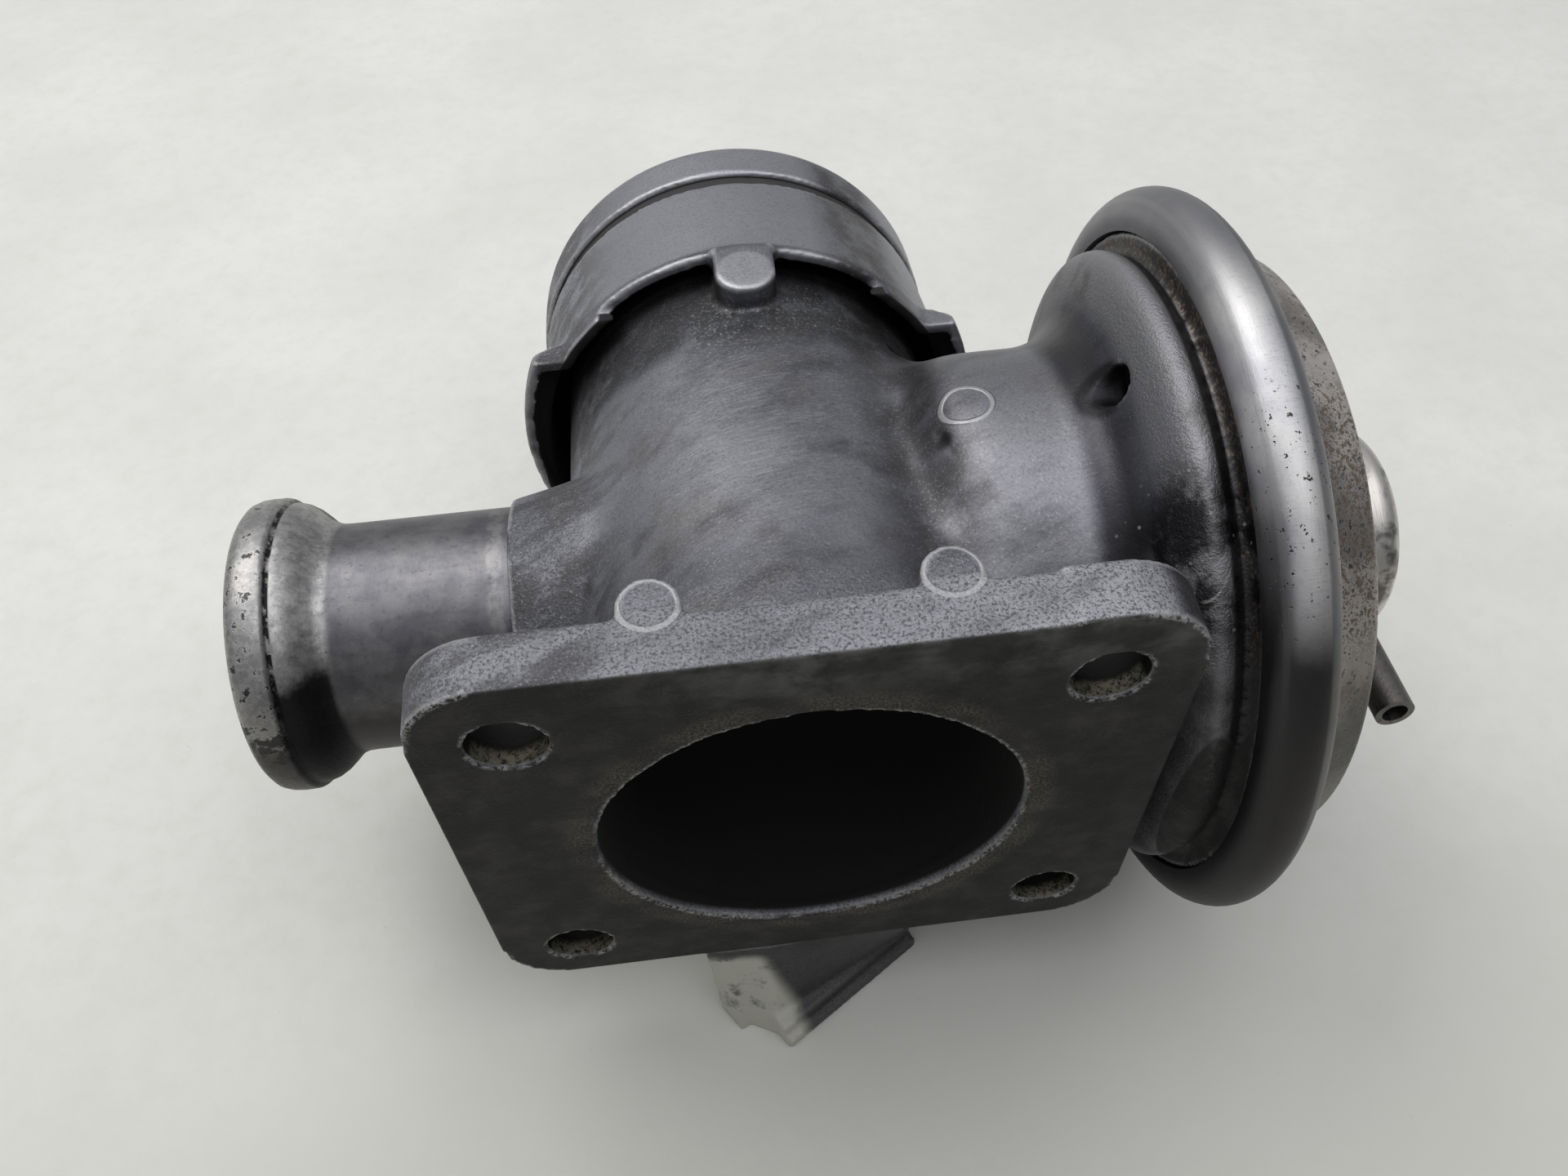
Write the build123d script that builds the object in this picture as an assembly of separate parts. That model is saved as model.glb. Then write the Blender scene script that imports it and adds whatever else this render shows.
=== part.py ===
from build123d import *
import math
import os

# Vacuum operated exhaust gas recirculation valve for a diesel engine.
# Row frame, millimetres: origin at the centre of the air bore on the face of the manifold flange.
# -Y points out of the flange face, +X runs along the valve axis from the exhaust pipe to the
# vacuum can, and +Z is up, across the flange.

# General clearances: a press or slip fit, and how far a cutter runs past what it cuts
PRESS_GAP = 0.02
OVERRUN = 2.0

# Manifold flange, with the ejector bosses on its upper edge
FLANGE_W = 82.0
FLANGE_H = 70.0
FLANGE_T = 7.2
FLANGE_CORNER_R = 9.0
FLANGE_EDGE_R = 0.8
FLANGE_RAISE = 0.65
BOLT_DX = 62.0
BOLT_DZ = 51.2
BOLT_HOLE_R = 4.2
PAD_W = 15.0
PAD_STEP = 0.5
EJECTOR_DX = 15.3
EJECTOR_Y = 8.4
EJECTOR_R = 3.35
EJECTOR_LEN = 16.0

# Air tube and hose spigot: their axis drops from the flange normal by TUBE_TILT
TUBE_TILT = 8.0
BORE_R = 25.1
TUBE_WALL = 2.9
STUB_LEN = 11.0
ROOT_R = 3.0
SKIRT_EDGE_S = 74.5
SKIRT_SPACE = 2.9
SKIRT_WALL = 1.7
SKIRT_DEPTH = 15.0
GROOVE_S = 96.0
GROOVE_W = 2.6
GROOVE_DEPTH = 2.0
BAND_DROP = 0.3
LIP_IN = 0.6
LIP_LEN = 10.5
LIP_ROUND = 3.6
MOUTH_STEP = 2.5
MOUTH_DEPTH = 14.0
EAR_OUT = 1.5
EAR_RISE = 4.6
EAR_EDGE_S = 72.0
EAR_BACK = 3.0
EAR_TAPER = 4.1
EAR_TOP = 18.8
EAR_STEP = 25.0
SKIRT_BOSS_R = 4.25
SKIRT_BOSS_X = 0.5
SKIRT_BOSS_Y = 73.9
SKIRT_BOSS_Z = 22.2
SKIRT_BOSS_BACK = 5.5

# Valve axis, parallel to X, which crosses the middle of the air tube
VALVE_Y = 39.06
VALVE_Z = -VALVE_Y * math.tan(math.radians(TUBE_TILT))

# Exhaust pipe and its socket
PIPE_R = 15.38
PIPE_WALL = 1.5
BEAD_X = -64.4
BEAD_R = 19.7
BEAD_ROUND = 3.9
SOCKET_END_X = -34.1
SOCKET_WALL = 0.9
SOCKET_ROOT_R = 24.0
SOCKET_ROOT_X = -14.0
SOCKET_FLARE = 0.2
PIPE_STOP_X = -27.0

# Crimped rim. The edges of bowl, diaphragm and can lie in it, and set the sizes inside them
RIM_X = 53.4
RIM_R = 49.07
RIM_ROUND = 4.06
RIM_SHEET = 0.9
RIM_SPACE = 1.97
RIM_MOUTH = 2.84
TONGUE_T = 2.1
TONGUE_STEP = 2.7
EDGE_BEAD_T = 2.0
EDGE_BEAD_W = 2.6

# Neck and diaphragm bowl of the casting
NECK_R = 29.8
NECK_START_X = 16.5
NECK_RISE = 8.8
NECK_BLEND = 6.5
NECK_END_X = 35.1
FLARE_X = 42.0
FLARE_RISE = 4.4
SHOULDER_X = 46.6
RING_LAND = 1.9
RING_X = 49.9
GROOVE_DROP = 1.8
BOWL_LAND = 1.3
CHAMBER_FLOOR_X = 36.0
CHAMBER_WALL = 6.0
CHAMBER_FLARE_X = 43.6
CHAMBER_STEP = 1.9
VENT_R = 2.4
VENT_RISE = 3.5

# Guide, seat and poppet
GUIDE_BOSS_R = 9.0
GUIDE_BOSS_END_X = 42.0
BUSH_R = 6.0
BUSH_START_X = 22.5
BUSH_END_X = 43.5
STEM_R = 3.0
STEM_CLEARANCE = 0.04
SEAT_T = 4.0
SEAT_BORE_R = 11.0
SEAT_CHAMFER = 1.5
POPPET_R = 13.0
POPPET_T = 3.0
POPPET_BEVEL = 1.0
POPPET_HUB_R = 9.0
SEAL_R = 7.6
SEAL_T = 2.4
CUP_WALL = 0.8
CUP_GRIP = 4.0
CUP_EYE = 1.2

# Diaphragm stack
DIAPHRAGM_T = 0.8
PLATE_T = 1.2
PLATE_LIP = 3.0
PLATE_MARGIN = 1.2
ROLL_DEPTH = 2.8
ROLL_GAP = 0.5
ROLL_W = 6.3
THREAD_R = 2.5
WASHER_R = 5.2
WASHER_T = 1.0
NUT_FLAT = 8.0
NUT_T = 4.0
STEM_TAIL = 1.2

# Rear vacuum can, cap, nipple and spring
CAN_SHEET = 0.9
CAN_BEND = 1.7
CAN_SIDE_IN = 1.6
CAN_EDGE_IN = 5.6
CAN_EDGE_X = 65.2
CAN_DISH = 1.4
CAP_R = 14.7
CAP_END_X = 82.4
CAP_ROUND = 3.2
CAP_SHEET = 1.0
CAP_FOOT = 4.0
NIPPLE_R = 2.45
NIPPLE_BORE_R = 1.6
NIPPLE_COLLAR_R = 3.3
NIPPLE_COLLAR_LEN = 1.2
NIPPLE_X = 74.6
NIPPLE_REACH = 31.6
NIPPLE_TILT = 4.4
SPRING_R = 10.6
SPRING_WIRE_R = 0.8
SPRING_TURNS = 5
SEAT_CUP_T = 1.0
SEAT_CUP_R = 12.6
SEAT_CUP_LIP = 1.5

# Broken-off leg under the flange: a corner post that leans forward, with ledges on its right face
FOOT_ROOT = 1.3
FOOT_FRONT_Y = 0.8
FOOT_BACK_Y = 9.0
FOOT_LEFT_X = -15.4
FOOT_RIGHT_X = 13.4
FOOT_RIDGE_X = -6.0
FOOT_REACH = 6.5
FOOT_NOTCH = 1.4
LEDGE_T = 1.3
LEDGE_RISE = 2.6

TUBE_R = BORE_R + TUBE_WALL
SOCKET_R = PIPE_R + SOCKET_WALL
SKIRT_INNER_R = TUBE_R + SKIRT_SPACE
SKIRT_R = SKIRT_INNER_R + SKIRT_WALL
SKIRT_WEB_S = SKIRT_EDGE_S + SKIRT_DEPTH
EAR_R = SKIRT_R + EAR_OUT
LIP_R = SKIRT_R - LIP_IN
MOUTH_R = BORE_R + MOUTH_STEP
FLANGE_TOP_Z = FLANGE_RAISE + FLANGE_H / 2
FOOT_TOP_Z = FLANGE_RAISE - FLANGE_H / 2 + FOOT_ROOT
FOOT_SOLE_Z = VALVE_Z - RIM_R
SOCKET_S = VALVE_Y / math.cos(math.radians(TUBE_TILT))
RIM_CENTRE_R = RIM_R - RIM_ROUND
TONGUE_R = RIM_R - RIM_SHEET - RIM_SPACE
RING_R = TONGUE_R - TONGUE_STEP
SHOULDER_R = RING_R - RING_LAND
GROOVE_R = SHOULDER_R - GROOVE_DROP
ROLL_OUTER_R = GROOVE_R - BOWL_LAND
ROLL_INNER_R = ROLL_OUTER_R - ROLL_W
PLATE_R = ROLL_INNER_R - PLATE_MARGIN
DIAPHRAGM_X = RIM_X - DIAPHRAGM_T / 2
FRONT_PLATE_X = DIAPHRAGM_X - PLATE_T
REAR_PLATE_X = DIAPHRAGM_X + DIAPHRAGM_T
CAN_X = DIAPHRAGM_X + EDGE_BEAD_T
SEAT_X = PIPE_STOP_X
SPIGOT_END_S = GROOVE_S + GROOVE_W + LIP_LEN
TUBE_FRAME = Rot(-TUBE_TILT, 0, 0) * Rot(0, 0, 90)


def face_of(*points):
    """Closed face of straight runs in the XY plane."""
    return make_face(Polyline(*points, close=True))


def spun(profile, turn=360.0):
    """Solid of revolution about X of a profile drawn as (along the axis, radius)."""
    return revolve(profile, Axis.X, turn)


def on_valve_axis(shape):
    return Pos(0, VALVE_Y, VALVE_Z) * shape


def on_tube_axis(shape):
    return TUBE_FRAME * shape


def rod(start, end, radius):
    """Round bar along X between two stations."""
    return spun(face_of((start, 0), (end, 0), (end, radius), (start, radius)))


def tube(start, end, radius, bore):
    return spun(face_of((start, bore), (end, bore), (end, radius), (start, radius)))


def pressed(points, thickness, bend):
    """Sheet metal turned about X: its outer line with rounded bends, and the sheet inside it."""
    line = FilletPolyline(*points, radius=bend)
    return spun(make_face(offset(line, amount=thickness, side=Side.RIGHT)))


def side_view(face):
    """Prism right across the part whose side view, square to the tube axis, is the face."""
    return extrude(Plane.XZ * face, FLANGE_W, both=True)


def flange():
    outline = RectangleRounded(FLANGE_W, FLANGE_H, FLANGE_CORNER_R)
    plate = extrude(Plane.XZ * Pos(0, FLANGE_RAISE) * outline, -FLANGE_T)
    plate = fillet(plate.faces().sort_by(Axis.Y)[-1].edges(), FLANGE_EDGE_R)
    raised = extrude(Plane.XZ * Pos(0, FLANGE_RAISE + PAD_STEP) * outline, -FLANGE_T)
    corner = Pos((FLANGE_W - PAD_W) / 2, FLANGE_T / 2, FLANGE_H / 2) * Box(PAD_W, FLANGE_T, 2 * PAD_W)
    return plate + (raised & corner)


def stub():
    """Straight start of the air tube, with a rounded root on the flange."""
    root = FLANGE_T + ROOT_R
    lines = Polyline((root, TUBE_R), (root, BORE_R), (FLANGE_T, BORE_R), (FLANGE_T, TUBE_R + ROOT_R))
    hollow = RadiusArc((FLANGE_T, TUBE_R + ROOT_R), (root, TUBE_R), -ROOT_R)
    ring = Rot(0, 0, 90) * spun(make_face(lines + hollow))
    return extrude(Plane.XZ * Circle(TUBE_R), -STUB_LEN) + ring


def skirt():
    """Spigot collar: a thin skirt open towards the flange, then the hose groove and the round lip."""
    land_r = LIP_R - GROOVE_DEPTH
    end = SPIGOT_END_S
    lines = Polyline(
        (SKIRT_EDGE_S, SKIRT_INNER_R), (SKIRT_EDGE_S, SKIRT_R), (GROOVE_S, LIP_R - BAND_DROP),
        (GROOVE_S, land_r), (GROOVE_S + GROOVE_W, land_r), (GROOVE_S + GROOVE_W, LIP_R),
        (end - LIP_ROUND, LIP_R),
    )
    round_over = RadiusArc((end - LIP_ROUND, LIP_R), (end, LIP_R - LIP_ROUND), LIP_ROUND)
    back = Polyline(
        (end, LIP_R - LIP_ROUND), (end, BORE_R), (SKIRT_WEB_S, BORE_R), (SKIRT_WEB_S, SKIRT_INNER_R),
        (SKIRT_EDGE_S, SKIRT_INNER_R),
    )
    return spun(make_face(lines + round_over + back))


def ear_view(top):
    """Everything below the given height, in the side view square to the tube axis."""
    return side_view(Pos(SOCKET_S, top - SKIRT_R) * Rectangle(2 * SKIRT_WEB_S, 2 * SKIRT_R))


def flared(radius, start, bend):
    """Disc round a raised centre line that narrows, behind the bend, to fit inside the skirt."""
    end = bend + EAR_BACK
    profile = face_of((start, 0), (start, radius), (bend, radius), (end, radius - EAR_TAPER), (end, 0))
    return Pos(0, 0, EAR_RISE) * spun(profile)


def ears():
    """Thin-walled bulges that widen the mouth of the skirt on both sides, and the step above them."""
    bulge = flared(EAR_R, EAR_EDGE_S, SKIRT_EDGE_S) & ear_view(EAR_TOP)
    jog = tube(EAR_EDGE_S, SKIRT_EDGE_S + SKIRT_WALL, SKIRT_R, SKIRT_INNER_R) & ear_view(EAR_STEP)
    return bulge + jog


def spigot():
    """Tilted tube with its collar. The gap under the skirt is open towards the flange."""
    barrel = tube(STUB_LEN / 2, SPIGOT_END_S - MOUTH_DEPTH, TUBE_R, BORE_R / 2)
    gap = tube(SOCKET_S, SKIRT_WEB_S, SKIRT_INNER_R, TUBE_R)
    bulge = flared(EAR_R - SKIRT_WALL, SOCKET_S, EAR_EDGE_S + SKIRT_WALL) & ear_view(EAR_TOP - SKIRT_WALL)
    return on_tube_axis(barrel + skirt() + ears() - gap - (bulge - rod(SOCKET_S, SKIRT_WEB_S, TUBE_R)))


def socket():
    """Boss round the end of the exhaust pipe, flared where it meets the tube."""
    start = (SOCKET_END_X, SOCKET_R)
    root = (SOCKET_ROOT_X, SOCKET_ROOT_R)
    flare = Spline(start, root, tangents=((1, SOCKET_FLARE), (1, 1)))
    ends = Polyline(root, (SOCKET_ROOT_X, 0), (SOCKET_END_X, 0), start)
    return on_valve_axis(spun(make_face(flare + ends)))


def bowl():
    """Neck and front half of the diaphragm chamber, turned about the valve axis."""
    neck_end = (NECK_END_X, NECK_R)
    groove = (RING_X - BAND_DROP, GROOVE_R)
    root = (NECK_START_X, NECK_R - NECK_RISE)
    crest = (NECK_START_X + NECK_BLEND, NECK_R)
    start = Spline(root, crest, tangents=((1, 0), (1, 0)))
    flare = Spline(neck_end, (FLARE_X, NECK_R + FLARE_RISE), (SHOULDER_X, SHOULDER_R), groove,
                   tangents=((1, 0.05), (0.6, -1)))
    edge = Polyline(
        groove, (RING_X, GROOVE_R), (RING_X, RING_R), (DIAPHRAGM_X - TONGUE_T, RING_R),
        (DIAPHRAGM_X - TONGUE_T, TONGUE_R), (DIAPHRAGM_X, TONGUE_R), (DIAPHRAGM_X, 0), (0, 0),
        (0, NECK_R - NECK_RISE), root,
    )
    return on_valve_axis(spun(make_face(start + Line(crest, neck_end) + flare + edge)))


def chamber():
    """Hollow of the front chamber, open towards the diaphragm, round the guide boss."""
    roll = ROLL_OUTER_R + ROLL_GAP
    profile = face_of(
        (CHAMBER_FLOOR_X, GUIDE_BOSS_R), (CHAMBER_FLOOR_X, NECK_R - CHAMBER_WALL),
        (CHAMBER_FLARE_X, NECK_R), (RING_X - CHAMBER_STEP, roll - CHAMBER_STEP),
        (RING_X + ROLL_GAP, roll), (DIAPHRAGM_X, roll), (DIAPHRAGM_X, 0),
        (GUIDE_BOSS_END_X, 0), (GUIDE_BOSS_END_X, GUIDE_BOSS_R),
    )
    return on_valve_axis(spun(profile))


def boss(x, y, z, radius, back):
    """Upright round boss with its top at z, joined by a block to what lies behind it."""
    block = Pos(x, y + back / 2, z - EJECTOR_LEN / 2) * Box(2 * radius, back, EJECTOR_LEN)
    return block + Pos(x, y, z - EJECTOR_LEN / 2) * Cylinder(radius, EJECTOR_LEN)


def ejector_bosses():
    """Bosses left by the ejector pins: two at the flange, one in the mouth of the skirt."""
    at_flange = [Pos(x, EJECTOR_Y, FLANGE_TOP_Z - EJECTOR_LEN / 2) * Cylinder(EJECTOR_R, EJECTOR_LEN)
                 for x in (-EJECTOR_DX, EJECTOR_DX)]
    return at_flange + [boss(SKIRT_BOSS_X, SKIRT_BOSS_Y, SKIRT_BOSS_Z, SKIRT_BOSS_R, SKIRT_BOSS_BACK)]


def foot():
    """Stump of a cast leg: a post with its corner to the front and a notched left face."""
    notch_x = (FOOT_LEFT_X + FOOT_RIDGE_X) / 2
    reach_y = FOOT_FRONT_Y - FOOT_REACH
    upper = face_of(
        (FOOT_LEFT_X, FOOT_FRONT_Y), (notch_x - FOOT_NOTCH, FOOT_FRONT_Y), (notch_x, FOOT_FRONT_Y),
        (FOOT_RIDGE_X, FOOT_FRONT_Y), (FOOT_RIGHT_X, FOOT_FRONT_Y), (FOOT_RIGHT_X, FOOT_BACK_Y),
        (FOOT_LEFT_X + FOOT_NOTCH, FOOT_BACK_Y),
    )
    half = FOOT_NOTCH / 2
    lower = face_of(
        (FOOT_LEFT_X + FOOT_NOTCH, FOOT_FRONT_Y - FOOT_NOTCH), (notch_x - half, reach_y / 2 - FOOT_NOTCH),
        (notch_x + half, reach_y / 2 - half), (FOOT_RIDGE_X, reach_y),
        (FOOT_RIGHT_X + FOOT_NOTCH, FOOT_BACK_Y - FOOT_NOTCH),
        (FOOT_RIGHT_X - FOOT_NOTCH, FOOT_BACK_Y + FOOT_NOTCH), (FOOT_LEFT_X + 2 * FOOT_NOTCH, FOOT_BACK_Y),
    )
    post = loft([Pos(0, 0, FOOT_TOP_Z) * upper, Pos(0, 0, FOOT_SOLE_Z) * lower], ruled=True)
    corner = Vector(FOOT_RIDGE_X, reach_y)
    end = Vector(FOOT_RIGHT_X + FOOT_NOTCH, FOOT_BACK_Y - FOOT_NOTCH)
    across = (end - corner).rotate(Axis.Z, -90).normalized()
    for step in (1, 2):
        out = across * (LEDGE_T * step)
        inward = across * -LEDGE_T
        strip = face_of(corner + inward, end + inward, end + out, corner + out)
        post += Pos(0, 0, FOOT_SOLE_Z) * extrude(strip, LEDGE_RISE * (3 - step))
    return post


def housing():
    """Cast body: flange, air tube, hose spigot, pipe socket, neck, bowl, bosses and foot."""
    body = flange() + stub() + spigot() + socket() + bowl() + foot()
    for pin_boss in ejector_bosses():
        body += pin_boss
    return body - passages() - drillings()


def passages():
    """Air way through the tube, pipe bore, guide bore and front chamber."""
    air = on_tube_axis(rod(STUB_LEN / 2, SPIGOT_END_S + OVERRUN, BORE_R))
    mouth = on_tube_axis(rod(SPIGOT_END_S - MOUTH_DEPTH, SPIGOT_END_S + OVERRUN, MOUTH_R))
    straight = extrude(Plane.XZ * Circle(BORE_R), -STUB_LEN)
    pipe_bore = rod(SOCKET_END_X - OVERRUN, SOCKET_ROOT_X, PIPE_R + PRESS_GAP)
    pipe_room = tube(-EAR_R - OVERRUN, SOCKET_END_X, SOCKET_R, PIPE_R / 2)
    guide_bore = rod(0, GUIDE_BOSS_END_X + OVERRUN, BUSH_R + PRESS_GAP)
    return air + mouth + straight + on_valve_axis(pipe_bore + pipe_room + guide_bore) + chamber()


def drillings():
    """Four bolt holes and the vent of the front chamber."""
    vent = Pos(0, 0, NECK_R + VENT_RISE) * rod(NECK_END_X, SHOULDER_X, VENT_R)
    holes = on_valve_axis(vent)
    for x in (-BOLT_DX / 2, BOLT_DX / 2):
        for z in (-BOLT_DZ / 2, BOLT_DZ / 2):
            holes += extrude(Plane.XZ * Pos(x, z) * Circle(BOLT_HOLE_R), -FLANGE_T - OVERRUN)
    return holes


def exhaust_pipe():
    """Drawn steel pipe pressed into its socket, with the rolled clamp bead on its free end."""
    bore = PIPE_R - PIPE_WALL
    crest = BEAD_R - BEAD_ROUND
    body = tube(BEAD_X, PIPE_STOP_X, PIPE_R, bore)
    bead = spun(Pos(BEAD_X, crest) * Circle(BEAD_ROUND))
    lip = tube(BEAD_X - BEAD_ROUND, BEAD_X, crest, bore)
    return on_valve_axis(body + bead + lip)


def valve_seat():
    """Hardened ring behind the pipe, with the conical seat on its air side."""
    end = SEAT_X + SEAT_T
    profile = face_of(
        (SEAT_X, SEAT_BORE_R), (end - SEAT_CHAMFER, SEAT_BORE_R), (end, SEAT_BORE_R + SEAT_CHAMFER),
        (end, PIPE_R), (SEAT_X, PIPE_R),
    )
    return on_valve_axis(spun(profile))


def poppet():
    """Valve disc that closes the seat, with the conical land that meets it."""
    seat_face = SEAT_X + SEAT_T
    gap = PRESS_GAP
    land = seat_face - SEAT_CHAMFER + gap
    profile = face_of(
        (land, STEM_R), (land, SEAT_BORE_R), (seat_face + gap, SEAT_BORE_R + SEAT_CHAMFER),
        (seat_face + gap, POPPET_R), (seat_face + POPPET_T - POPPET_BEVEL, POPPET_R),
        (seat_face + POPPET_T, POPPET_HUB_R), (seat_face + POPPET_T, STEM_R),
    )
    return on_valve_axis(spun(profile))


def valve_stem():
    start = SEAT_X + SEAT_T - SEAT_CHAMFER - POPPET_BEVEL
    shoulder = FRONT_PLATE_X
    tail = REAR_PLATE_X + PLATE_T + WASHER_T + NUT_T + STEM_TAIL
    return on_valve_axis(rod(start, shoulder, STEM_R) + rod(shoulder, tail, THREAD_R))


def guide_bush():
    return on_valve_axis(tube(BUSH_START_X, BUSH_END_X, BUSH_R, STEM_R + STEM_CLEARANCE))


def stem_seal():
    start = BUSH_END_X
    return on_valve_axis(tube(start, start + SEAL_T, SEAL_R, STEM_R + STEM_CLEARANCE))


def seal_cap():
    """Pressed cup over the guide boss that holds the stem seal."""
    end = BUSH_END_X + SEAL_T + CUP_WALL
    outer = GUIDE_BOSS_R + CUP_WALL
    points = ((GUIDE_BOSS_END_X - CUP_GRIP, outer), (end, outer), (end, STEM_R + CUP_EYE))
    return on_valve_axis(pressed(points, CUP_WALL, 2 * CUP_WALL))


def front_plate():
    inner = FRONT_PLATE_X
    body = tube(inner, inner + PLATE_T, PLATE_R, THREAD_R)
    lip = tube(inner - PLATE_LIP, inner + PLATE_T, PLATE_R, PLATE_R - PLATE_T)
    return on_valve_axis(body + lip)


def rear_plate():
    inner = REAR_PLATE_X
    body = tube(inner, inner + PLATE_T, PLATE_R, THREAD_R)
    lip = tube(inner, inner + PLATE_LIP, PLATE_R, PLATE_R - PLATE_T)
    return on_valve_axis(body + lip)


def diaphragm():
    """Rubber diaphragm: flat between the plates, a rolling fold, and a thick bead clamped in the rim."""
    x = DIAPHRAGM_X
    t = DIAPHRAGM_T
    back = x + t
    bead_r = TONGUE_R - EDGE_BEAD_W
    middle = (ROLL_INNER_R + ROLL_OUTER_R) / 2
    lines = Polyline((x, ROLL_INNER_R), (x, THREAD_R), (back, THREAD_R), (back, ROLL_INNER_R + t))
    inner = ThreePointArc((back, ROLL_INNER_R + t), (back - ROLL_DEPTH, middle), (back, ROLL_OUTER_R - t))
    rim = Polyline((back, ROLL_OUTER_R - t), (back, bead_r), (x + EDGE_BEAD_T, bead_r),
                   (x + EDGE_BEAD_T, TONGUE_R), (x, TONGUE_R), (x, ROLL_OUTER_R))
    outer = ThreePointArc((x, ROLL_OUTER_R), (x - ROLL_DEPTH, middle), (x, ROLL_INNER_R))
    return on_valve_axis(spun(make_face(lines + inner + rim + outer)))


def lock_washer():
    start = REAR_PLATE_X + PLATE_T
    return on_valve_axis(tube(start, start + WASHER_T, WASHER_R, THREAD_R))


def stem_nut():
    start = REAR_PLATE_X + PLATE_T + WASHER_T
    hexagon = Plane.YZ * RegularPolygon(NUT_FLAT / 2, 6, major_radius=False)
    return on_valve_axis(Pos(start, 0, 0) * extrude(hexagon, NUT_T) - rod(start, start + NUT_T, THREAD_R))


def rear_can():
    """Pressed steel pan, clamped in the rim, with a dished back and a hole for the cap."""
    side = CAN_X + CAN_SHEET
    points = ((side, TONGUE_R), (side, RIM_CENTRE_R - CAN_SIDE_IN),
              (CAN_EDGE_X, RIM_CENTRE_R - CAN_EDGE_IN), (CAN_EDGE_X + CAN_DISH, CAP_R - CAP_SHEET))
    return on_valve_axis(pressed(points, CAN_SHEET, CAN_BEND))


def can_cap():
    """Deep-drawn cap welded to the back of the can. It holds the outer end of the spring."""
    foot_end = CAN_EDGE_X + CAN_DISH + CAP_SHEET
    points = ((foot_end, CAP_R + CAP_FOOT), (foot_end, CAP_R), (CAP_END_X, CAP_R), (CAP_END_X, 0))
    port = nipple_part(NIPPLE_COLLAR_R + PRESS_GAP, CAP_R / 2, CAP_R + CAP_ROUND)
    return on_valve_axis(pressed(points, CAP_SHEET, CAP_ROUND) - port)


def nipple_part(radius, start, end):
    """Round bar along the nipple, between two distances from the valve axis."""
    middle = Pos(0, -(start + end) / 2, 0) * Rot(90, 0, 0)
    return Pos(NIPPLE_X, 0, 0) * Rot(-NIPPLE_TILT, 0, 0) * middle * Cylinder(radius, end - start)


def vacuum_nipple():
    """Thin steel tube for the vacuum hose, with a collar brazed into the side of the cap."""
    start = CAP_R - CAP_SHEET
    barrel = nipple_part(NIPPLE_R, start, NIPPLE_REACH)
    collar = nipple_part(NIPPLE_COLLAR_R, start, CAP_R + NIPPLE_COLLAR_LEN)
    bore = nipple_part(NIPPLE_BORE_R, start - OVERRUN, NIPPLE_REACH + OVERRUN)
    return on_valve_axis(barrel + collar - bore)


def crimp_ring():
    """Rolled steel rim that clamps bowl, diaphragm and can together."""
    centre = (RIM_X, RIM_CENTRE_R)
    ring = Pos(*centre) * (Circle(RIM_ROUND) - Circle(RIM_ROUND - RIM_SHEET))
    mouth = Pos(RIM_X, RIM_CENTRE_R - RIM_ROUND) * Rectangle(2 * RIM_ROUND, 2 * RIM_MOUTH)
    return on_valve_axis(spun(ring - mouth))


def spigot_seal():
    """Rubber ring in the groove of the hose spigot."""
    middle = GROOVE_S + GROOVE_W / 2
    land = LIP_R - GROOVE_DEPTH
    half = GROOVE_W / 2 - PRESS_GAP
    outer = LIP_R - BAND_DROP - half
    return on_tube_axis(tube(middle - half, middle + half, outer + half / 2, land + PRESS_GAP))


def spring_seat():
    """Shallow steel cup that centres the spring on the diaphragm stack."""
    start = REAR_PLATE_X + PLATE_T
    base = tube(start, start + SEAT_CUP_T, SEAT_CUP_R, WASHER_R + PRESS_GAP)
    wall = tube(start, start + SEAT_CUP_T + SEAT_CUP_LIP, SEAT_CUP_R, SEAT_CUP_R - SEAT_CUP_T + PRESS_GAP)
    return on_valve_axis(base + wall)


def return_spring():
    """Compression spring between the spring seat and the cap."""
    start = REAR_PLATE_X + PLATE_T + SEAT_CUP_T + SPRING_WIRE_R + PRESS_GAP
    end = CAP_END_X - CAP_SHEET - SPRING_WIRE_R - PRESS_GAP
    path = Helix(pitch=(end - start) / SPRING_TURNS, height=end - start, radius=SPRING_R)
    wire = Plane(origin=path @ 0, z_dir=path % 0) * Circle(SPRING_WIRE_R)
    coil = sweep(wire, path=path, is_frenet=True)
    return on_valve_axis(Pos(start, 0, 0) * Rot(0, 90, 0) * coil)


def build():
    pieces = {
        "housing": housing(),
        "exhaust_pipe": exhaust_pipe(),
        "valve_seat": valve_seat(),
        "poppet": poppet(),
        "valve_stem": valve_stem(),
        "guide_bush": guide_bush(),
        "stem_seal": stem_seal(),
        "seal_cap": seal_cap(),
        "front_plate": front_plate(),
        "diaphragm": diaphragm(),
        "rear_plate": rear_plate(),
        "spring_seat": spring_seat(),
        "lock_washer": lock_washer(),
        "stem_nut": stem_nut(),
        "return_spring": return_spring(),
        "rear_can": rear_can(),
        "can_cap": can_cap(),
        "vacuum_nipple": vacuum_nipple(),
        "crimp_ring": crimp_ring(),
        "spigot_seal": spigot_seal(),
    }
    os.makedirs("parts", exist_ok=True)
    for name, shape in pieces.items():
        export_step(shape, f"parts/{name}.step")


build()
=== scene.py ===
import math

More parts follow.
